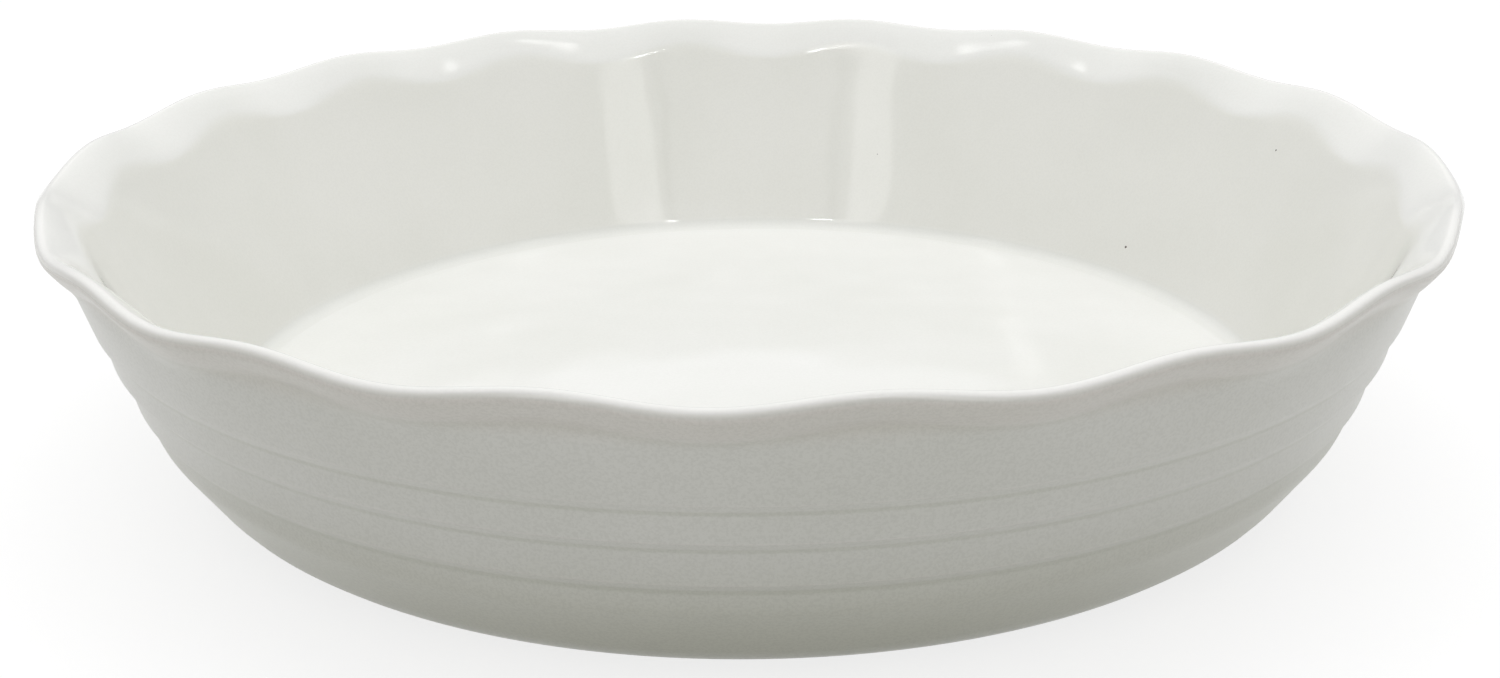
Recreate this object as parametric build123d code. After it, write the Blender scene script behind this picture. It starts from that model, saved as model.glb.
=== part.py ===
from build123d import *
import os
from collections import namedtuple
from math import cos, pi, sin

# A round stoneware pie dish with a ruffled rim and three stepped bands around its wall.
# The dish is one piece of fired clay with its glaze fused on, standing on a bare foot ring.
# The glaze inside the foot ring is cut off from the rest by that ring and is its own piece.
# The origin is the middle of the foot's underside, +Z is the dish's axis, millimetres.

# The dish as a whole
rim_diameter = 266.0        # across the middle line of the ruffled edge
rim_height = 56.5           # from the table to the middle line of the edge

# The ruffle of the rim
wave_count = 18
edge_swing = 0.36           # how far each wave moves the edge out and in
edge_lift = 0.8             # how far each wave moves the edge down and up
fold_lift = 1.5             # how far it moves the fold between flange and inner wall
lip_overhang = 3.7          # how far the edge stands out past the wall
lip_drop = 6.2              # from the edge down to the crease under it
flange_width = 8.4          # from the edge in to the fold
flange_drop = 5.8           # from the edge down to the fold
outer_fade = 3.0            # below the crease, where the outer wall is round again
inner_fade = 3.0            # below the fold, where the inner wall is round again

# The wall and its stepped bands
step_level_shares = (0.660, 0.533, 0.388)   # inner corners of the steps, of the rim height
step_depth = 1.7            # how far a band's lower lip stands proud of the band below
top_step_depth = 2.1        # the same for the plain band above the steps
band_flare = 1.1            # how far that band's top leans out past the line of the steps
step_fall = 1.2             # height of the undercut below a lip
step_bevel = 0.5            # worn edge of a lip
waist_diameter = 235.0      # of the lowest step's inner corner
knuckle_level = 17.4        # where the wall turns in to the heel
heel_width = 10.1           # of the heel's slant, from the waist in to the underside
heel_round = 12.0

# The inside
floor_inset = 13.0          # from the waist in to where the inner wall would meet the floor
floor_thickness = 6.3       # with the glaze under it
floor_round = 7.0

# The foot ring and the glaze inside it
foot_inset = 13.4           # from the end of the heel's slant in to the ring
foot_width = 6.0
foot_height = 2.5
glaze_thickness = 0.4

# Places from the crease under the flared lip to the crest of its rounded edge. First the share
# of the overhang out from the wall, then the share of the lip's drop down from the edge.
lip_shares = (
    (0.00, 1.00),
    (0.46, 0.68),
    (0.94, 0.30),
    (1.00, 0.12),
    (0.89, 0.00),
    (0.66, -0.05),
)
# Places on the flange. First the share of its width in from the edge, then the share of its
# drop down from the edge, then how far the wave has changed from the edge's to the fold's.
flange_shares = (
    (0.26, 0.00, 0.06),
    (0.50, 0.27, 0.35),
    (0.75, 0.62, 0.68),
    (1.00, 1.00, 1.00),
)

# A ring of the surface, and how its wave moves it out and down where the edge is lowest.
Ring = namedtuple("Ring", "radius height swing lift", defaults=(0.0, 0.0))

rim_radius = rim_diameter / 2
waist_radius = waist_diameter / 2
base_radius = waist_radius - heel_width
floor_radius = waist_radius - floor_inset
foot_radius = base_radius - foot_inset
foot_inner_radius = foot_radius - foot_width
shoulder_radius = rim_radius - lip_overhang
crease_height = rim_height - lip_drop
fold_radius = rim_radius - flange_width
fold_height = rim_height - flange_drop
floor_height = foot_height + floor_thickness
inner_slope = (fold_radius - floor_radius) / (fold_height - floor_height)
clay_underside = foot_height + glaze_thickness
step_levels = [share * rim_height for share in step_level_shares]
waist_level = step_levels[-1]


def between(a, b, share):
    return a + (b - a) * share


def corner_radius(height):
    """The cone through the inner corners of the steps, from the waist up."""
    return between(waist_radius, shoulder_radius - band_flare,
                   (height - waist_level) / (crease_height - waist_level))


def upper_wall_radius(height):
    """The plain band above the top step, from its lower lip up to the crease."""
    lip_level = step_levels[0] + step_fall
    return between(corner_radius(lip_level) + top_step_depth, shoulder_radius,
                   (height - lip_level) / (crease_height - lip_level))


def inner_wall_radius(height):
    """The cone from the floor's edge up to the fold."""
    return floor_radius + inner_slope * (height - floor_height)


def foot_and_wall():
    """The section from the middle of the underside round the foot and up the stepped bands,
    with the rounding of each of its corners."""
    points = [
        (0.0, clay_underside),
        (foot_inner_radius, clay_underside),
        (foot_inner_radius, 0.0),
        (foot_radius, 0.0),
        (foot_radius, foot_height),
        (base_radius, foot_height),
        (waist_radius, knuckle_level),
    ]
    for level in reversed(step_levels):
        lip_level = level + step_fall
        depth = top_step_depth if level == step_levels[0] else step_depth
        lip_radius = corner_radius(lip_level) + depth
        points += [
            (corner_radius(level), level),
            (lip_radius - step_bevel, lip_level),
            (lip_radius, lip_level + step_bevel),
        ]
    points.append((ruffle[0].radius, ruffle[0].height))
    rounds = [heel_round if point[0] == base_radius else 0.0 for point in points[1:-1]]
    return points, rounds


def inner_wall_and_floor():
    """The section from the ruffle down the inner wall to the middle of the floor."""
    points = [
        (ruffle[-1].radius, ruffle[-1].height),
        (floor_radius, floor_height),
        (0.0, floor_height),
    ]
    return points, [floor_round]


def ruffle_rings():
    """From the round outer wall over the ruffled edge to the round inner wall."""
    start_height = crease_height - outer_fade
    start = Ring(upper_wall_radius(start_height), start_height)
    lip = [
        Ring(shoulder_radius + out * lip_overhang, rim_height - down * lip_drop,
             edge_swing, edge_lift)
        for out, down in lip_shares
    ]
    fold_swing = -inner_slope * fold_lift       # so that the fold stays on the inner wall's cone
    flange = [
        Ring(rim_radius - into * flange_width, rim_height - down * flange_drop,
             between(edge_swing, fold_swing, change), between(edge_lift, fold_lift, change))
        for into, down, change in flange_shares
    ]
    end_height = fold_height - inner_fade
    return [start, *lip, *flange, Ring(inner_wall_radius(end_height), end_height)]


def ring_wire(ring):
    """One closed ring as a wire, round or following the ruffle's wave."""
    if ring.swing == 0 and ring.lift == 0:
        return Wire([Edge.make_circle(ring.radius, Plane.XY.offset(ring.height))])
    points_per_wave = 4
    points = []
    for i in range(wave_count * points_per_wave):
        turn = 2 * pi * i / (wave_count * points_per_wave)
        wave = -cos(wave_count * turn)
        reach = ring.radius + ring.swing * wave
        points.append(Vector(reach * cos(turn), reach * sin(turn), ring.height - ring.lift * wave))
    return Wire([Edge.make_spline(points, periodic=True)])


def revolved(points, rounds):
    """The round faces of a section, with its corners rounded as listed."""
    section = FilletPolyline(*[(r, 0.0, z) for r, z in points], radius=rounds)
    return Shell.revolve(section, 360, Axis.Z).faces()


def ruffled(rings):
    """The faces of the rim, drawn ring by ring."""
    return Shell.make_loft([ring_wire(ring) for ring in rings], ruled=True).faces()


ruffle = ruffle_rings()
dish_body = Solid(Shell([
    *revolved(*foot_and_wall()),
    *ruffled(ruffle),
    *revolved(*inner_wall_and_floor()),
]))

underside_glaze = Pos(0, 0, foot_height) * Cylinder(
    foot_inner_radius, glaze_thickness, align=(Align.CENTER, Align.CENTER, Align.MIN))

os.makedirs("parts", exist_ok=True)
export_step(dish_body, "parts/dish_body.step")
export_step(underside_glaze, "parts/underside_glaze.step")
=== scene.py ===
"""A round, white glazed pie dish with a ruffled, turned-out rim and three stepped bands.

The dish's section is drawn from its sizes, and a Geometry Nodes tree carries it round the axis
and lets the rim follow an even wave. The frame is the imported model: metres, +Z up, with the
origin on the table under the middle of the dish.
"""
from collections import namedtuple
from math import ceil, cos, hypot, pi, radians, sin, tan

import bpy
from bpy.props import FloatProperty, FloatVectorProperty, IntProperty, PointerProperty
from mathutils import Matrix, Vector


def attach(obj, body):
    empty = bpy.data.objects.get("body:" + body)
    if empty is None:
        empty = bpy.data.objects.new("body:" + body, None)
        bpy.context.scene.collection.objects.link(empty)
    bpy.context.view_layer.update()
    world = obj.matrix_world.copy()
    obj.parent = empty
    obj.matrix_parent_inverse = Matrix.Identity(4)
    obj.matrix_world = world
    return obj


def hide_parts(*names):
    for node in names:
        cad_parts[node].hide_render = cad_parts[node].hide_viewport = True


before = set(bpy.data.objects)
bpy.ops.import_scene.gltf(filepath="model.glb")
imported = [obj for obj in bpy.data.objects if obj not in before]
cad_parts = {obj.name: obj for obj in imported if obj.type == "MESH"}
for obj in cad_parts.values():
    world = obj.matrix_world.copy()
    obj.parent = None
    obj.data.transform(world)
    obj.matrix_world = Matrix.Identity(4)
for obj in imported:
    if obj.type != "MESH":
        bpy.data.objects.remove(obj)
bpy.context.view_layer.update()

bl_info = {
    "name": "Ruffled pie dish",
    "version": (1, 0, 0),
    "blender": (4, 5, 0),
    "location": "3D View > Sidebar > Pie Dish",
    "description": "Builds a glazed pie dish with a ruffled rim, and the table it stands on",
    "category": "Add Mesh",
}

DISH_NODE = "dish_body"
UNDERSIDE_NODE = "underside_glaze"
ROOT_BODY = "root"
FRAME_WHITE = "white_glaze"     # the frame's plain material; the dish's own gets a number added

# Places from the crease under the flared lip to the crest of its rounded edge. First the share
# of the overhang out from the wall, then the share of the lip's drop down from the edge.
LIP_SHARES = (
    (0.00, 1.00),
    (0.46, 0.68),
    (0.93, 0.30),
    (0.988, 0.12),
    (0.89, 0.00),
    (0.66, -0.05),
)
# Places on the flange. First the share of its width in from the edge, then the share of its
# drop down from the edge, then how far the wave has changed from the edge's to the fold's.
FLANGE_SHARES = (
    (0.26, 0.00, 0.06),
    (0.50, 0.27, 0.35),
    (0.75, 0.62, 0.68),
    (1.00, 1.00, 1.00),
)
STEP_LEVEL_SHARES = (0.660, 0.533, 0.388)   # inner corners of the steps, of the rim height
# The coat inside the foot ring thins out over this many roundings of the foot, and ends at
# this share of its thickness.
COAT_SLOPE, COAT_EDGE = 4, 0.25

# How finely the dish is drawn
ROUNDING_TURN = radians(12.0)   # from one place on a rounding to the next
LEAST_TURN = radians(1.0)       # a corner that turns less is left as it is
ROUNDING_SHARE = 0.45           # of a stretch, the most that a rounding takes at one end
RIM_STEPS = 4                   # from each ring of the rim to the next
FOLD_STEPS = 6
SHORTEST_RUN = 1e-6             # so that a bend stays finite
CLOSING_DISTANCE = 1e-5         # closes the seam and the poles

# Where the glaze and the painted shade on it change, from none of the change to all of it. A bend
# is in radians to the metre, a facing is how far the surface looks up, from -1 to 1, and a height
# is above the table.
# pooled glaze with painted shade, in the hollows under each band's lip
POOLED_AND_SHADED_BENDS = (50.0, 560.0)
THINNED_BENDS = (120.0, 1400.0)
STEEP_FACINGS = (0.66, 0.46)
OUTSIDE_FACINGS = (0.30, 0.0)
LIP_HEIGHTS = (0.0480, 0.0520)
RIM_HEIGHTS = (0.0460, 0.0510)
# painted shade on the outside, darker towards the foot
HEEL_SHADE_HEIGHTS = (0.0310, 0.0030)

# Patterns of the glaze and of the bare clay
DRIFT_SCALE, DRIFT_RANGE = 22.0, (0.30, 0.72)
DRIFT_SHARE = 0.22              # of the way from the white to the pooled and shaded colour
GRAIN_SCALE, GRAIN_RANGE = 1900.0, (0.42, 0.62)
GRAIN_CAST = (0.938, 0.938, 0.933)
GRAIN_INSIDE = 0.3              # share of the grain that the outside has
SPECK_SCALE = 105.0
SPECK_SIZE = 0.035              # of the largest, in widths of the pattern's cells
SPECK_GAPS = 0.86               # share of the cells without a speck
CLAY_SCALE, CLAY_RANGE = 900.0, (0.3, 0.7)
CLAY_SHADE = 0.82               # of the clay's colour, in its darker grains
CLAY_ROUGHNESS = 0.85
GLAZE_LINE_SCALE = 60.0
GLAZE_LINE = (0.0003, 0.0009)   # its lowest height above the table, and how far it wanders
HAZE_SCALE, HAZE_RANGE = 55.0, (0.35, 0.75)
HAZE_SHARE = 0.02               # added roughness of the glaze's hazier places
RIPPLE_SCALE = 48.0
GRAIN_RELIEF, CLAY_RELIEF = 0.012, 0.12     # of the ripple's height
RELIEF_STRENGTH, RELIEF_HEIGHT = 0.30, 0.0009
GLAZE_IOR = 1.50

# The white table
TABLE_HALF_WIDTH = 3.0
TABLE_SHADED = (0.25, 0.25, 0.25, 1.0)      # takes the dish's shadow
TABLE_GLOW = 0.80                           # and this lifts it to white
TABLE_DULL = (0.54, 0.54, 0.52, 1.0)        # what it sends back to the dish

# The upright panels of the room that the glaze mirrors, as directions from the dish, and a thin
# dark seam inside each panel. Four angles aside from their middle: where a strip begins, where
# it is whole from and to, and where it ends.
PANEL_MIDDLE = radians(1.85)
PANEL_STRIP = (radians(24.5), radians(24.5) + 0.01, radians(34.5), radians(34.5) + 0.03)
SEAM_STRIP = (radians(19.9) - 0.005, radians(19.9), radians(22.0), radians(22.0) + 0.005)
PANEL_TOP, PANEL_TOP_BLUR = sin(radians(62.0)), 0.05
# The brighter backdrop that it mirrors, over how far a direction goes back and up
BACKDROP_BACK = (0.0, 0.8)
BACKDROP_UP = (0.05, 0.75)
# Small bright lamps that the glaze mirrors: azimuth from the front, elevation, half width and
# brightness.
SPARKS = (
    (radians(26.0), radians(51.0), radians(1.2), 40.0),
    (radians(-19.5), radians(51.0), radians(1.2), 40.0),
    (radians(98.0), radians(64.5), radians(2.4), 4.3),
    (radians(-95.0), radians(61.5), radians(2.4), 4.3),
)
SPARK_BLUR = (1.5, 0.5)         # of the half width, where a lamp begins and is whole

# The soft lights: name, place, width and height
OVERHEAD_LIGHT = ("overhead_light", (0.0, 0.10, 1.00), 1.50, 0.90)
FRONT_LIGHT = ("front_light", (0.0, -1.10, 0.75), 1.20, 0.60)
SENSOR_WIDTH = 36.0
NEAREST_SEEN = 0.01

# One place on the section. swing and lift are how far the rim's wave carries it out and down.
Place = namedtuple("Place", "radius height swing lift", defaults=(0.0, 0.0))


def length(name, description, default):
    return FloatProperty(name=name, description=description, default=default,
                         min=0.0, unit="LENGTH", precision=4)


def share(name, description, default):
    return FloatProperty(name=name, description=description, default=default,
                         min=0.0, max=1.0, subtype="FACTOR")


def colour(name, description, default):
    return FloatVectorProperty(name=name, description=description, default=default,
                               min=0.0, max=1.0, size=3, subtype="COLOR")


class DishSizes(bpy.types.PropertyGroup):
    """Sizes of the dish."""
    rim_diameter: length("Rim diameter", "Across the middle line of the ruffled edge", 0.2660)
    rim_height: length("Rim height", "From the table to the middle line of the edge", 0.0565)
    wave_count: IntProperty(name="Waves", description="Waves round the rim", default=18, min=3)
    edge_swing: length("Edge swing", "How far a wave moves the edge out and in", 0.00036)
    edge_lift: length("Edge lift", "How far a wave moves the edge down and up", 0.0008)
    fold_lift: length("Fold lift", "How far a wave moves the fold along the inner wall", 0.0015)
    fold_round: length("Fold rounding", "Each way from the fold", 0.0018)
    lip_overhang: length("Lip overhang", "How far the edge stands out past the wall", 0.0037)
    lip_drop: length("Lip drop", "From the edge down to the crease under it", 0.0062)
    flange_width: length("Flange width", "From the edge in to the fold", 0.0084)
    flange_drop: length("Flange drop", "From the edge down to the fold", 0.0058)
    outer_fade: length("Outer fade", "Below the crease, where the outer wall is round", 0.0030)
    inner_fade: length("Inner fade", "Below the fold, where the inner wall is round", 0.0030)
    step_depth: length("Step depth", "How far a band stands proud of the band below", 0.0010)
    top_step_depth: length("Top step depth", "The same for the plain band at the top", 0.0008)
    step_fall: length("Step fall", "Height of the hollow below a band's lip", 0.0018)
    step_drop: length("Step drop", "From a step's level down to the hollow's foot", 0.0004)
    step_round: length("Step rounding", "Worn, rounded lip of a band", 0.0006)
    step_pool: length("Step pooling", "Glaze that rounds the foot of the hollow", 0.0030)
    waist_diameter: length("Waist diameter", "Of the lowest step's inner corner", 0.2364)
    knuckle_inset: length("Knuckle inset", "From the waist in to the turn", 0.0007)
    knuckle_level: length("Knuckle level", "Where the wall turns in to the heel", 0.0174)
    knuckle_round: length("Knuckle rounding", "Radius of that turn", 0.0100)
    heel_width: length("Heel width", "From the waist in to the underside", 0.0108)
    heel_round: length("Heel rounding", "Radius of the heel", 0.0120)
    floor_inset: length("Floor inset", "From the waist in to the floor's edge", 0.0137)
    floor_thickness: length("Floor thickness", "Of the floor with its glaze", 0.0063)
    floor_round: length("Floor rounding", "Between the floor and the inner wall", 0.0045)
    foot_inset: length("Foot inset", "From the heel in to the ring that the dish stands on",
                       0.0134)
    foot_width: length("Foot width", "Of the ring, from outside to inside", 0.0060)
    foot_height: length("Foot height", "From the table to the underside", 0.0025)
    foot_round: length("Foot rounding", "Worn edges of the ring", 0.0007)
    glaze_thickness: length("Glaze thickness", "Of the coat inside the foot ring", 0.0004)
    steps_per_wave: IntProperty(name="Steps per wave", description="Faces along each wave",
                                default=24, min=6)
    longest_step: length("Longest step", "Longest face down the section", 0.0060)


class DishGlaze(bpy.types.PropertyGroup):
    """Colours and gloss of the glaze and the bare clay, and the shade painted into them."""
    white: colour("White", "The glaze where it is even", (0.850, 0.852, 0.828))
    # Pooled glaze in the corners, made darker still as painted shade in the hollows under the
    # bands' lips
    pooled_and_shaded: colour("Pooled", "The glaze where it lies thick, in corners", (0.700, 0.712, 0.652))
    thin: colour("Thin", "The glaze where it has run off an edge", (0.870, 0.860, 0.838))
    clay: colour("Clay", "The bare clay of the foot ring", (0.640, 0.585, 0.505))
    pinhole: colour("Pinhole", "Iron specks and pinholes in the glaze", (0.110, 0.095, 0.080))
    # A slightly yellower cast on steep faces, inside and out
    steep_cast: colour("Wall cast", "Cast of the glaze where it ran thin on steep walls",
                      (1.0, 0.996, 0.975))
    lip_cast: colour("Lip cast", "Warm clay that shows through under the edge",
                     (1.0, 0.972, 0.965))
    # Painted shade: the outside darker and greener towards the foot, where little light comes up
    # from the table; not thicker glaze
    heel_painted_shade: colour("Heel cast", "Of the thicker glaze low down", (0.745, 0.750, 0.655))
    roughness: share("Roughness", "Roughness of the glaze inside", 0.04)
    rim_haze: share("Rim haze", "Added roughness on the handled rim", 0.07)
    outside_haze: share("Outside haze", "Added roughness on the outer wall", 0.26)


class DishStudio(bpy.types.PropertyGroup):
    """The camera and the lights."""
    camera_turn: FloatProperty(name="Camera turn", description="Round the dish from the front",
                               default=radians(2.5), subtype="ANGLE")
    camera_distance: length("Camera distance", "From the dish's axis, level", 0.3616)
    camera_height: length("Camera height", "Above the table", 0.15085)
    camera_tilt: FloatProperty(name="Camera tilt", description="Down from level",
                               default=radians(20.35), subtype="ANGLE")
    camera_roll: FloatProperty(name="Camera roll", description="About the line of sight",
                               default=radians(-0.54), subtype="ANGLE")
    lens: FloatProperty(name="Lens", description="Focal length on a 36 mm sensor",
                        default=45.34, unit="CAMERA")
    room: FloatProperty(name="Room light", description="Brightness of the walls around",
                        default=0.445, min=0.0)
    overhead: FloatProperty(name="Overhead light", description="Power of the large top light",
                            default=8.4, min=0.0, subtype="POWER")
    front: FloatProperty(name="Front light", description="Power of the soft light in front",
                         default=0.95, min=0.0, subtype="POWER")
    mirrored: FloatProperty(name="Mirrored room", description="Brightness that the glaze mirrors",
                            default=0.68, min=0.0)
    backdrop: FloatProperty(name="Mirrored backdrop", description="Added behind the dish",
                            default=0.75, min=0.0)
    panels: FloatProperty(name="Mirrored panels", description="Of the two upright panels in it",
                          default=2.20, min=0.0)
    sparks: FloatProperty(name="Mirrored lamps", description="Share of the small lamps' light",
                          default=1.0, min=0.0)


# The section of the dish

def between(a, b, share_of_way):
    return a + (b - a) * share_of_way


def blend(a, b, share_of_way):
    """The place that far between two places."""
    return Place(*(between(x, y, share_of_way) for x, y in zip(a, b)))


def divided(places, longest):
    """The same line with no stretch longer than that."""
    line = [places[0]]
    for a, b in zip(places, places[1:]):
        parts = max(1, ceil(hypot(b.radius - a.radius, b.height - a.height) / longest))
        line += [blend(a, b, i / parts) for i in range(1, parts + 1)]
    return line


def rounded(places, rounds):
    """The line with each inner corner rounded to the radius given for it."""
    line = [places[0]]
    for before, corner, after, radius in zip(places, places[1:], places[2:], rounds):
        here = Vector(corner[:2])
        back, on = (Vector(before[:2]) - here), (Vector(after[:2]) - here)
        half_angle = back.angle(on) / 2
        turn = pi - 2 * half_angle
        if radius == 0 or turn < LEAST_TURN:
            line.append(corner)
            continue
        reach = min(radius / tan(half_angle), ROUNDING_SHARE * back.length,
                    ROUNDING_SHARE * on.length)
        radius = reach * tan(half_angle)
        start, end = here + back.normalized() * reach, here + on.normalized() * reach
        centre = here + (back.normalized() + on.normalized()).normalized() * hypot(reach, radius)
        steps = max(2, ceil(turn / ROUNDING_TURN))
        first, last = start - centre, end - centre
        side = 1 if first.x * last.y - first.y * last.x > 0 else -1
        for i in range(steps + 1):
            arm = Matrix.Rotation(side * turn * i / steps, 2) @ first
            line.append(Place(*(centre + arm)))
    return line + [places[-1]]


def smoothed(rings, steps):
    """A smooth line through the rings, with that many steps from each to the next."""
    line = []
    for i in range(1, len(rings) - 2):
        p0, p1, p2, p3 = rings[i - 1:i + 3]
        for k in range(steps):
            t = k / steps
            line.append(Place(*(
                0.5 * (2 * b + (c - a) * t + (2 * a - 5 * b + 4 * c - d) * t ** 2
                       + (3 * b - a - 3 * c + d) * t ** 3)
                for a, b, c, d in zip(p0, p1, p2, p3))))
    return line + [rings[-2]]


def turned_fold(before, fold, after, reach):
    """A small even bend in place of a corner that follows the wave."""
    start, end = (blend(fold, other, reach / hypot(other.radius - fold.radius,
                                                   other.height - fold.height))
                  for other in (before, after))
    return [blend(blend(start, fold, i / FOLD_STEPS), blend(fold, end, i / FOLD_STEPS),
                  i / FOLD_STEPS)
            for i in range(FOLD_STEPS + 1)]


def wall_levels(sizes):
    """Heights and radii that the outside and the inside of the wall share."""
    rim_radius = sizes.rim_diameter / 2
    shoulder = rim_radius - sizes.lip_overhang
    crease = sizes.rim_height - sizes.lip_drop
    steps = [level * sizes.rim_height for level in STEP_LEVEL_SHARES]

    def corner_radius(height):
        return between(sizes.waist_diameter / 2, shoulder,
                       (height - steps[-1]) / (crease - steps[-1]))

    def upper_wall_radius(height):
        lip = steps[0] + sizes.step_fall
        return between(corner_radius(lip) + sizes.top_step_depth, shoulder,
                       (height - lip) / (crease - lip))

    return rim_radius, shoulder, crease, steps, corner_radius, upper_wall_radius


def foot_and_wall(sizes):
    """From the middle of the underside round the foot and up the stepped bands."""
    *_, steps, corner_radius, _ = wall_levels(sizes)
    waist = sizes.waist_diameter / 2
    base = waist - sizes.heel_width
    foot = base - sizes.foot_inset
    inside = foot - sizes.foot_width
    clay = sizes.foot_height + sizes.glaze_thickness
    places = [Place(0, clay), Place(inside, clay), Place(inside, 0), Place(foot, 0),
              Place(foot, sizes.foot_height), Place(base, sizes.foot_height),
              Place(waist - sizes.knuckle_inset, sizes.knuckle_level)]
    rounds = [sizes.foot_round] * 4 + [sizes.heel_round, sizes.knuckle_round]
    for level in reversed(steps):
        lip_level = level + sizes.step_fall
        depth = sizes.top_step_depth if level == steps[0] else sizes.step_depth
        places += [Place(corner_radius(level), level - sizes.step_drop),
                   Place(corner_radius(lip_level) + depth, lip_level - sizes.step_drop)]
        rounds += [sizes.step_pool, sizes.step_round]
    return places, rounds


def floor_edge(sizes):
    """Where the inner wall would meet the floor."""
    return Place(sizes.waist_diameter / 2 - sizes.floor_inset,
                 sizes.foot_height + sizes.floor_thickness)


def ruffle(sizes):
    """The rings of the rim, from the round outer wall over the edge to the round inner wall."""
    rim_radius, shoulder, crease, _, _, upper_wall_radius = wall_levels(sizes)
    floor = floor_edge(sizes)
    slope = ((rim_radius - sizes.flange_width - floor.radius)
             / (sizes.rim_height - sizes.flange_drop - floor.height))
    start_height = crease - sizes.outer_fade
    start = Place(upper_wall_radius(start_height), start_height)
    lip = [Place(shoulder + out * sizes.lip_overhang,
                 sizes.rim_height - down * sizes.lip_drop, sizes.edge_swing, sizes.edge_lift)
           for out, down in LIP_SHARES]
    flange = [Place(rim_radius - into * sizes.flange_width,
                    sizes.rim_height - down * sizes.flange_drop,
                    between(sizes.edge_swing, -slope * sizes.fold_lift, change),
                    between(sizes.edge_lift, sizes.fold_lift, change))
              for into, down, change in FLANGE_SHARES]
    end_height = flange[-1].height - sizes.inner_fade
    end = Place(floor.radius + slope * (end_height - floor.height), end_height)
    return [start, *lip, *flange, end]


def dish_section(sizes):
    """The whole section, from the middle of the underside to the middle of the floor."""
    rings = ruffle(sizes)
    outside, outside_rounds = foot_and_wall(sizes)
    floor = floor_edge(sizes)
    outer = rounded([*outside, rings[0]], outside_rounds)
    inner = rounded([rings[-1], floor, Place(0, floor.height)], [sizes.floor_round])
    below = blend(outside[-1], rings[0], 0.5)
    fold, end = rings[-2:]
    past_fold = blend(rings[-3], fold, 2.0)
    rim = smoothed([below, *rings[:-1], past_fold], RIM_STEPS)
    rim[-3:] = turned_fold(rim[-4], fold, end, sizes.fold_round)
    return divided([*outer[:-1], *rim, *inner], sizes.longest_step)


def underside_section(sizes):
    """The coat inside the foot ring: flat, and thinner towards the ring."""
    foot = sizes.waist_diameter / 2 - sizes.heel_width - sizes.foot_inset
    edge = foot - sizes.foot_width - sizes.foot_round
    top = sizes.foot_height + sizes.glaze_thickness
    thinning = edge - COAT_SLOPE * sizes.foot_round
    places = [Place(0, sizes.foot_height), Place(thinning, sizes.foot_height),
              Place(edge, top - COAT_EDGE * sizes.glaze_thickness), Place(edge, top),
              Place(0, top)]
    rounds = [sizes.foot_width, sizes.glaze_thickness / 2, 0]
    return divided(rounded(places, rounds), sizes.longest_step)


def section_mesh(name, places):
    """The section as a line of points that know how far they follow the wave, and how it bends
    there: below zero the glaze runs thin, above zero it pools and painted shade darkens it."""
    mesh = bpy.data.meshes.new(name)
    mesh.from_pydata([(p.radius, 0, p.height) for p in places],
                     [(i, i + 1) for i in range(len(places) - 1)], [])
    bends = [0.0]
    for a, b, c in zip(places, places[1:], places[2:]):
        first, second = Vector(b[:2]) - Vector(a[:2]), Vector(c[:2]) - Vector(b[:2])
        run = (first.length + second.length) / 2
        turn = first.angle_signed(second, 0.0) if first.length and second.length else 0.0
        bends.append(turn / max(run, SHORTEST_RUN))
    bends.append(0.0)
    for kept, values in (("swing", [p.swing for p in places]),
                         ("lift", [p.lift for p in places]),
                         ("bend", bends)):
        mesh.attributes.new(kept, "FLOAT", "POINT").data.foreach_set("value", values)
    return mesh


# Geometry Nodes

class Tree:
    """A node tree with short ways to add and join its nodes."""

    def __init__(self, tree):
        self.tree = tree

    def add(self, kind, inputs=(), **settings):
        node = self.tree.nodes.new(kind)
        for name, value in settings.items():
            setattr(node, name, value)
        for key, value in dict(inputs).items():
            self.feed(node.inputs[key], value)
        return node

    def feed(self, socket, value):
        if isinstance(value, bpy.types.Node):
            value = value.outputs[0]
        if isinstance(value, bpy.types.NodeSocket):
            self.tree.links.new(value, socket)
        else:
            socket.default_value = value

    def math(self, operation, *values):
        return self.add("ShaderNodeMath", dict(enumerate(values)), operation=operation).outputs[0]


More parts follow.
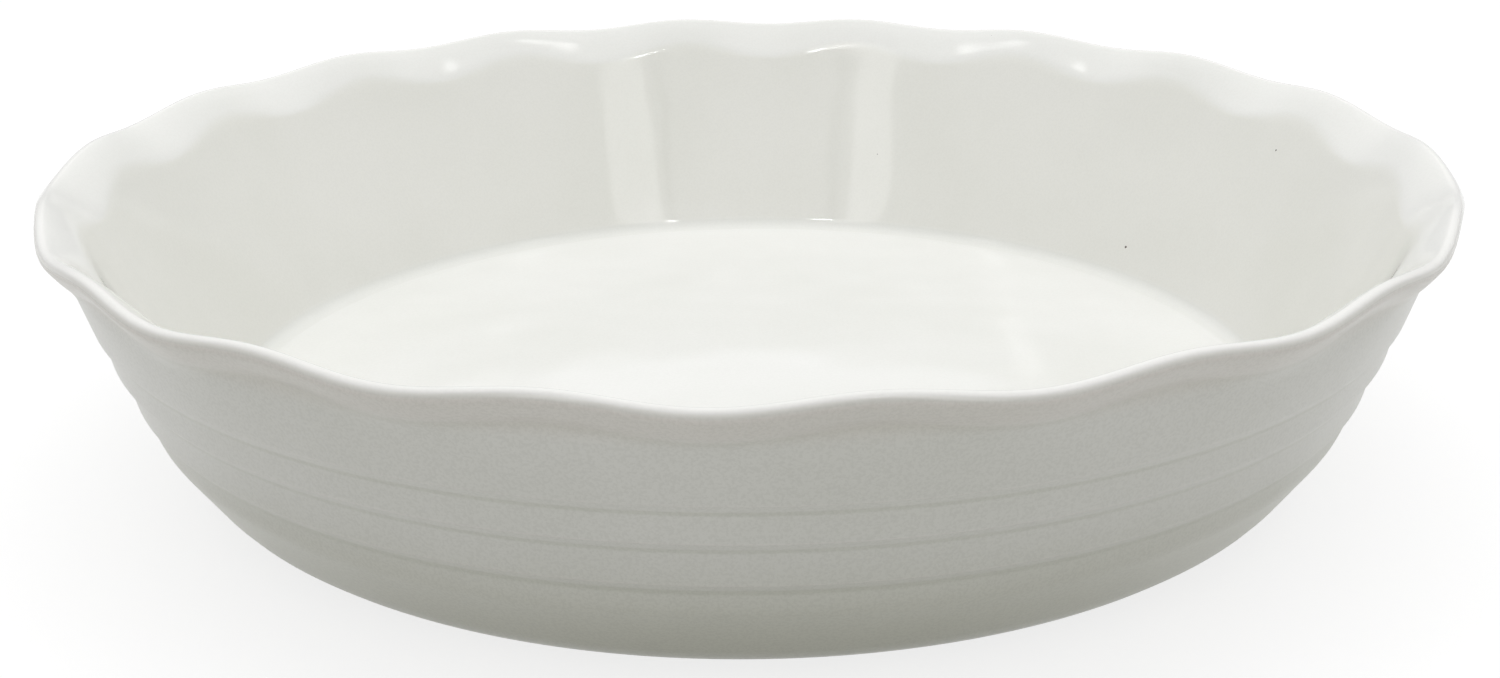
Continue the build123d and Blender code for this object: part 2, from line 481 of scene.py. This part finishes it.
def turning_tree():
    """A section carried round the axis, each of its points following the rim's wave."""
    tree = bpy.data.node_groups.new("turned_section", "GeometryNodeTree")
    sockets = tree.interface
    sockets.new_socket("Section", in_out="INPUT", socket_type="NodeSocketGeometry")
    for name, kind, default in (("Waves", "Int", 18), ("Steps", "Int", 432),
                                ("Closing Distance", "Float", CLOSING_DISTANCE)):
        sockets.new_socket(name, in_out="INPUT",
                           socket_type="NodeSocket" + kind).default_value = default
    sockets.new_socket("Finish", in_out="INPUT", socket_type="NodeSocketMaterial")
    sockets.new_socket("Surface", in_out="OUTPUT", socket_type="NodeSocketGeometry")
    g = Tree(tree)
    given = g.add("NodeGroupInput").outputs
    count = g.add("GeometryNodeAttributeDomainSize", {"Geometry": given["Section"]},
                  component="MESH").outputs["Point Count"]
    around = g.math("ADD", given["Steps"], 1)
    grid = g.add("GeometryNodeMeshGrid", {"Size X": 1.0, "Size Y": 1.0, "Vertices X": around,
                                          "Vertices Y": count})
    spot = g.add("ShaderNodeSeparateXYZ", {0: g.add("GeometryNodeInputPosition")}).outputs
    angle = g.math("MULTIPLY", g.math("ADD", spot["X"], 0.5), 2 * pi)
    along = g.math("ROUND", g.math("MULTIPLY", g.math("ADD", spot["Y"], 0.5),
                                   g.math("SUBTRACT", count, 1)))

    def on_section(value, data_type="FLOAT"):
        return g.add("GeometryNodeSampleIndex", {"Geometry": given["Section"], "Value": value,
                                                 "Index": along},
                     data_type=data_type, domain="POINT").outputs[0]

    def named(name):
        return on_section(g.add("GeometryNodeInputNamedAttribute", {"Name": name},
                                data_type="FLOAT").outputs[0])

    place = g.add("ShaderNodeSeparateXYZ", {
        0: on_section(g.add("GeometryNodeInputPosition").outputs[0], "FLOAT_VECTOR")}).outputs
    wave = g.math("MULTIPLY", g.math("COSINE", g.math("MULTIPLY", angle, given["Waves"])), -1.0)
    reach = g.math("MULTIPLY_ADD", named("swing"), wave, place["X"])
    fall = g.math("MULTIPLY", named("lift"), wave)
    height = g.math("SUBTRACT", place["Z"], fall)
    target = g.add("ShaderNodeCombineXYZ", {
        "X": g.math("MULTIPLY", reach, g.math("COSINE", angle)),
        "Y": g.math("MULTIPLY", reach, g.math("SINE", angle)), "Z": height})
    stored = g.add("GeometryNodeStoreNamedAttribute", {
        "Geometry": grid.outputs["Mesh"], "Name": "bend", "Value": named("bend")},
        data_type="FLOAT", domain="POINT")
    placed = g.add("GeometryNodeSetPosition", {"Geometry": stored, "Position": target})
    closed = g.add("GeometryNodeMergeByDistance", {"Geometry": placed,
                                                   "Distance": given["Closing Distance"]})
    smooth = g.add("GeometryNodeSetShadeSmooth", {"Geometry": closed})
    real = g.add("GeometryNodeRealizeInstances", {"Geometry": smooth})
    finish = g.add("GeometryNodeSetMaterial", {"Geometry": real, "Material": given["Finish"]})
    g.feed(g.add("NodeGroupOutput").inputs[0], finish)
    return tree


def turned(name, places, material, sizes, waves):
    """The section turned into a plain closed mesh."""
    draft = bpy.data.objects.new(name + "_section", section_mesh(name + "_section", places))
    bpy.context.scene.collection.objects.link(draft)
    modifier = draft.modifiers.new("turned_section", "NODES")
    modifier.node_group = bpy.data.node_groups.get("turned_section") or turning_tree()
    identifiers = {item.name: item.identifier for item in modifier.node_group.interface.items_tree}
    modifier[identifiers["Waves"]] = waves
    modifier[identifiers["Steps"]] = sizes.wave_count * sizes.steps_per_wave
    modifier[identifiers["Closing Distance"]] = CLOSING_DISTANCE
    modifier[identifiers["Finish"]] = material
    draft.update_tag()
    graph = bpy.context.evaluated_depsgraph_get()
    mesh = bpy.data.meshes.new_from_object(draft.evaluated_get(graph), depsgraph=graph)
    draft.modifiers.remove(modifier)
    bpy.data.objects.remove(draft)
    mesh.name = name
    piece = bpy.data.objects.new(name, mesh)
    bpy.context.scene.collection.objects.link(piece)
    return piece


# Finishes

def new_material(name):
    material = bpy.data.materials.new(name)
    material.use_nodes = True
    material.node_tree.nodes.clear()
    return material, Tree(material.node_tree)


def mix_colour(tree, factor, a, b, blend_type="MIX"):
    node = tree.add("ShaderNodeMix", data_type="RGBA", blend_type=blend_type)
    tree.feed(node.inputs["Factor"], factor)
    for key, value in ((6, a), (7, b)):
        tree.feed(node.inputs[key], (*value, 1.0) if isinstance(value, (tuple, list)) else value)
    return node.outputs[2]


def tinted(tree, factor, base, cast):
    """The base colour, with that much of a cast over it."""
    return mix_colour(tree, factor, base, mix_colour(tree, 1.0, base, tuple(cast), "MULTIPLY"))


def ramp(tree, value, low, high):
    """0 at low and 1 at high, smoothly, and level beyond them."""
    return tree.add("ShaderNodeMapRange", {"Value": value, "From Min": low, "From Max": high},
                    interpolation_type="SMOOTHSTEP").outputs[0]


def noise(tree, vector, scale, detail=2.0, roughness=0.5):
    return tree.add("ShaderNodeTexNoise", {"Vector": vector, "Scale": scale, "Detail": detail,
                                           "Roughness": roughness}).outputs[0]


def glaze_material(glaze):
    """White glaze over pale clay, pooled in corners with painted shade there, thin on edges, with
    painted shade low on the outside, bare under the foot.
    """
    material, t = new_material("white_glaze")
    here = t.add("ShaderNodeTexCoord").outputs
    where = here["Object"]
    height = t.add("ShaderNodeSeparateXYZ", {0: where}).outputs["Z"]
    facing = t.add("ShaderNodeSeparateXYZ", {0: here["Normal"]}).outputs["Z"]
    bend = t.add("ShaderNodeAttribute", attribute_name="bend").outputs["Fac"]
    outside = ramp(t, facing, *OUTSIDE_FACINGS)

    drift = noise(t, where, DRIFT_SCALE, 3.0)
    grain = noise(t, where, GRAIN_SCALE, 2.0, 0.6)
    white = mix_colour(t, ramp(t, drift, *DRIFT_RANGE), tuple(glaze.white), tuple(
        between(a, b, DRIFT_SHARE) for a, b in zip(glaze.white, glaze.pooled_and_shaded)))
    # Pooled glaze and painted shade in the concave corners
    pooled_and_shaded = mix_colour(t, ramp(t, bend, *POOLED_AND_SHADED_BENDS), white, tuple(glaze.pooled_and_shaded))
    thinned = mix_colour(t, ramp(t, t.math("MULTIPLY", bend, -1.0), *THINNED_BENDS), pooled_and_shaded,
                         tuple(glaze.thin))
    on_wall = tinted(t, ramp(t, facing, *STEEP_FACINGS), thinned, glaze.steep_cast)
    under_lip = t.math("MULTIPLY", outside, ramp(t, height, *LIP_HEIGHTS))
    at_lip = tinted(t, under_lip, on_wall, glaze.lip_cast)
    # Painted shade: the outside darker towards the foot
    low = t.math("MULTIPLY", outside, ramp(t, height, *HEEL_SHADE_HEIGHTS))
    heel_shaded = tinted(t, low, at_lip, glaze.heel_painted_shade)
    coarse = t.math("MULTIPLY_ADD", outside, 1.0 - GRAIN_INSIDE, GRAIN_INSIDE)
    grained = tinted(t, t.math("MULTIPLY", ramp(t, grain, *GRAIN_RANGE), coarse), heel_shaded,
                     GRAIN_CAST)

    cells = t.add("ShaderNodeTexVoronoi", {"Vector": where, "Scale": SPECK_SCALE})
    chosen = t.add("ShaderNodeSeparateColor", {0: cells.outputs["Color"]}).outputs
    speck_size = t.math("MULTIPLY", chosen[1], SPECK_SIZE)
    speck = t.math("MULTIPLY",
                   t.math("LESS_THAN", cells.outputs["Distance"], speck_size),
                   t.math("GREATER_THAN", chosen[0], SPECK_GAPS))
    coat = mix_colour(t, speck, grained, tuple(glaze.pinhole))

    clay_grain = noise(t, where, CLAY_SCALE, 4.0, 0.7)
    clay = mix_colour(t, ramp(t, clay_grain, *CLAY_RANGE), tuple(glaze.clay), tuple(
        CLAY_SHADE * c for c in glaze.clay))
    lowest, wander = GLAZE_LINE
    glaze_line = t.math("MULTIPLY_ADD", noise(t, where, GLAZE_LINE_SCALE, 3.0), wander, lowest)
    bare = t.math("LESS_THAN", height, glaze_line)

    surface = t.add("ShaderNodeBsdfPrincipled")
    t.feed(surface.inputs["Base Color"], mix_colour(t, bare, coat, clay))
    surface.inputs["IOR"].default_value = GLAZE_IOR
    uneven = t.math("MULTIPLY_ADD", ramp(t, noise(t, where, HAZE_SCALE), *HAZE_RANGE),
                    HAZE_SHARE, glaze.roughness)
    on_rim = t.math("MULTIPLY", ramp(t, height, *RIM_HEIGHTS), glaze.rim_haze)
    hazy = t.math("ADD", uneven, t.math("MAXIMUM", on_rim,
                                        t.math("MULTIPLY", outside, glaze.outside_haze)))
    t.feed(surface.inputs["Roughness"],
           t.math("MAXIMUM", hazy, t.math("MULTIPLY", bare, CLAY_ROUGHNESS)))
    ripple = t.math("MULTIPLY_ADD", noise(t, where, RIPPLE_SCALE, 1.0), 1.0,
                    t.math("MULTIPLY", grain, GRAIN_RELIEF))
    skin = t.math("MULTIPLY_ADD", bare, t.math("MULTIPLY", clay_grain, CLAY_RELIEF), ripple)
    bump = t.add("ShaderNodeBump", {"Strength": RELIEF_STRENGTH, "Distance": RELIEF_HEIGHT,
                                    "Height": skin})
    t.feed(surface.inputs["Normal"], bump)
    t.feed(t.add("ShaderNodeOutputMaterial").inputs["Surface"], surface)
    return material


def table_material():
    """A white table, plain white to the eye but for the dish's soft shadow."""
    material, t = new_material("white_table")
    rays = t.add("ShaderNodeLightPath").outputs
    seen = t.math("MAXIMUM", rays["Is Camera Ray"],
                  t.math("MAXIMUM", rays["Is Glossy Ray"], rays["Is Transmission Ray"]))
    shaded, dull = (t.add("ShaderNodeBsdfDiffuse") for _ in range(2))
    shaded.inputs["Color"].default_value = TABLE_SHADED
    dull.inputs["Color"].default_value = TABLE_DULL
    glow = t.add("ShaderNodeEmission")
    glow.inputs["Strength"].default_value = TABLE_GLOW
    white = t.add("ShaderNodeAddShader", {0: shaded, 1: glow})
    t.feed(t.add("ShaderNodeOutputMaterial").inputs["Surface"],
           t.add("ShaderNodeMixShader", {0: seen, 1: dull, 2: white}))
    return material


def room_world(studio):
    """White to the eye, an even, softer light to the dish, and to its gloss a room with a
    brighter backdrop, two panels and a few lamps."""
    world = bpy.context.scene.world or bpy.data.worlds.new("room")
    bpy.context.scene.world = world
    world.use_nodes = True
    world.node_tree.nodes.clear()
    t = Tree(world.node_tree)
    rays = t.add("ShaderNodeLightPath").outputs
    seen = t.math("MAXIMUM", rays["Is Camera Ray"], rays["Is Transmission Ray"])
    direction = t.add("ShaderNodeTexCoord").outputs["Generated"]
    x, y, z = t.add("ShaderNodeSeparateXYZ", {0: direction}).outputs
    aside = t.math("ABSOLUTE", t.math("SUBTRACT", t.math("ARCTAN2", x, t.math(
        "MULTIPLY", y, -1.0)), PANEL_MIDDLE))
    below_top = t.math("SUBTRACT", 1.0, ramp(t, z, PANEL_TOP - PANEL_TOP_BLUR,
                                             PANEL_TOP + PANEL_TOP_BLUR))

    def strip(start, whole_from, whole_to, end):
        return t.math("MULTIPLY", below_top, t.math(
            "MULTIPLY", ramp(t, aside, start, whole_from), ramp(t, aside, end, whole_to)))

    panel, seam = strip(*PANEL_STRIP), strip(*SEAM_STRIP)
    behind = t.math("MULTIPLY", ramp(t, y, *BACKDROP_BACK), ramp(t, z, *BACKDROP_UP))
    backdrop = t.math("MULTIPLY_ADD", behind, studio.backdrop, studio.mirrored)
    plain = t.math("MULTIPLY", t.math("SUBTRACT", 1.0, seam), backdrop)
    shown = t.math("MULTIPLY_ADD", panel, studio.panels - studio.mirrored, plain)
    for azimuth, elevation, half_width, brightness in SPARKS:
        towards = (sin(azimuth) * cos(elevation), -cos(azimuth) * cos(elevation), sin(elevation))
        nearness = t.add("ShaderNodeVectorMath", {0: direction, 1: towards},
                         operation="DOT_PRODUCT").outputs["Value"]
        lamp = ramp(t, nearness, *(cos(blur * half_width) for blur in SPARK_BLUR))
        shown = t.math("MULTIPLY_ADD", lamp, brightness * studio.sparks, shown)
    even, mirrored, white = (t.add("ShaderNodeBackground") for _ in range(3))
    for background in (even, mirrored, white):
        background.inputs["Color"].default_value = (1.0, 1.0, 1.0, 1.0)
    even.inputs["Strength"].default_value = studio.room
    t.feed(mirrored.inputs["Strength"], shown)
    lighting = t.add("ShaderNodeMixShader", {0: rays["Is Glossy Ray"], 1: even, 2: mirrored})
    t.feed(t.add("ShaderNodeOutputWorld").inputs["Surface"],
           t.add("ShaderNodeMixShader", {0: seen, 1: lighting, 2: white}))


def soft_light(name, place, width, height, target, power):
    """A soft rectangular light that faces its target and isn't mirrored."""
    lamp = bpy.data.lights.new(name, "AREA")
    lamp.shape, lamp.size, lamp.size_y, lamp.energy = "RECTANGLE", width, height, power
    stand = bpy.data.objects.new(name, lamp)
    stand.location = place
    stand.rotation_euler = (Vector(target) - Vector(place)).to_track_quat("-Z", "Y").to_euler()
    stand.visible_glossy = False
    bpy.context.scene.collection.objects.link(stand)


def white_table():
    """The plain table that the dish stands on."""
    mesh = bpy.data.meshes.new("table_top")
    half = TABLE_HALF_WIDTH
    mesh.from_pydata([(-half, -half, 0), (half, -half, 0), (half, half, 0), (-half, half, 0)],
                     [], [(0, 1, 2, 3)])
    mesh.materials.append(table_material())
    table = bpy.data.objects.new("table_top", mesh)
    bpy.context.scene.collection.objects.link(table)
    return table


def front_camera(studio):
    """The camera at the photograph's angle."""
    camera = bpy.data.objects.new("camera", bpy.data.cameras.new("camera"))
    bpy.context.scene.collection.objects.link(camera)
    camera.data.lens = studio.lens
    camera.data.sensor_width = SENSOR_WIDTH
    camera.data.clip_start = NEAREST_SEEN
    turn = studio.camera_turn
    camera.location = (studio.camera_distance * sin(turn), -studio.camera_distance * cos(turn),
                       studio.camera_height)
    camera.rotation_euler = (Matrix.Rotation(turn, 3, "Z")
                             @ Matrix.Rotation(pi / 2 - studio.camera_tilt, 3, "X")
                             @ Matrix.Rotation(studio.camera_roll, 3, "Z")).to_euler()
    return camera


# What a user runs

class OBJECT_OT_pie_dish_body(bpy.types.Operator):
    """Builds the dish: foot ring, stepped wall, ruffled rim and floor in one glazed piece"""
    bl_idname = "object.pie_dish_body"
    bl_label = "Dish"

    def execute(self, context):
        sizes = context.scene.dish_sizes
        material = glaze_material(context.scene.dish_glaze)
        dish = turned("glazed_dish", dish_section(sizes), material, sizes, sizes.wave_count)
        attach(dish, ROOT_BODY)
        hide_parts(DISH_NODE)
        return {"FINISHED"}


class OBJECT_OT_pie_dish_underside(bpy.types.Operator):
    """Builds the coat of glaze inside the foot ring, in the frame's plain white"""
    bl_idname = "object.pie_dish_underside"
    bl_label = "Underside glaze"

    def execute(self, context):
        sizes = context.scene.dish_sizes
        material = bpy.data.materials[FRAME_WHITE]
        coat = turned("glazed_underside", underside_section(sizes), material, sizes, 0)
        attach(coat, ROOT_BODY)
        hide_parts(UNDERSIDE_NODE)
        return {"FINISHED"}


class SCENE_OT_pie_dish_studio(bpy.types.Operator):
    """Sets up the white table, the soft lights and the camera"""
    bl_idname = "scene.pie_dish_studio"
    bl_label = "Table, lights and camera"

    def execute(self, context):
        studio = context.scene.dish_studio
        table = white_table()
        room_world(studio)
        middle = (0.0, 0.0, context.scene.dish_sizes.rim_height / 2)
        soft_light(*OVERHEAD_LIGHT, middle, studio.overhead)
        soft_light(*FRONT_LIGHT, middle, studio.front)
        context.scene.camera = front_camera(studio)
        context.scene.view_settings.view_transform = "Standard"
        return {"FINISHED"}


class VIEW3D_PT_pie_dish(bpy.types.Panel):
    """Lists the pieces of the dish, its sizes and its finishes"""
    bl_idname = "VIEW3D_PT_pie_dish"
    bl_label = "Pie dish"
    bl_space_type = "VIEW_3D"
    bl_region_type = "UI"
    bl_category = "Pie Dish"

    def draw(self, context):
        for operator in OPERATORS:
            self.layout.operator(operator.bl_idname)
        for group in (context.scene.dish_sizes, context.scene.dish_glaze,
                      context.scene.dish_studio):
            box = self.layout.box()
            for name in group.__annotations__:
                box.prop(group, name)


OPERATORS = (OBJECT_OT_pie_dish_body, OBJECT_OT_pie_dish_underside, SCENE_OT_pie_dish_studio)
GROUPS = {"dish_sizes": DishSizes, "dish_glaze": DishGlaze, "dish_studio": DishStudio}


def register():
    for cls in (*GROUPS.values(), *OPERATORS, VIEW3D_PT_pie_dish):
        bpy.utils.register_class(cls)
    for name, group in GROUPS.items():
        setattr(bpy.types.Scene, name, PointerProperty(type=group))


def unregister():
    for name in GROUPS:
        delattr(bpy.types.Scene, name)
    for cls in (VIEW3D_PT_pie_dish, *reversed(OPERATORS), *reversed(GROUPS.values())):
        bpy.utils.unregister_class(cls)


def main():
    register()
    bpy.ops.object.pie_dish_body()
    bpy.ops.object.pie_dish_underside()
    bpy.ops.scene.pie_dish_studio()


if __name__ == "__main__":
    main()
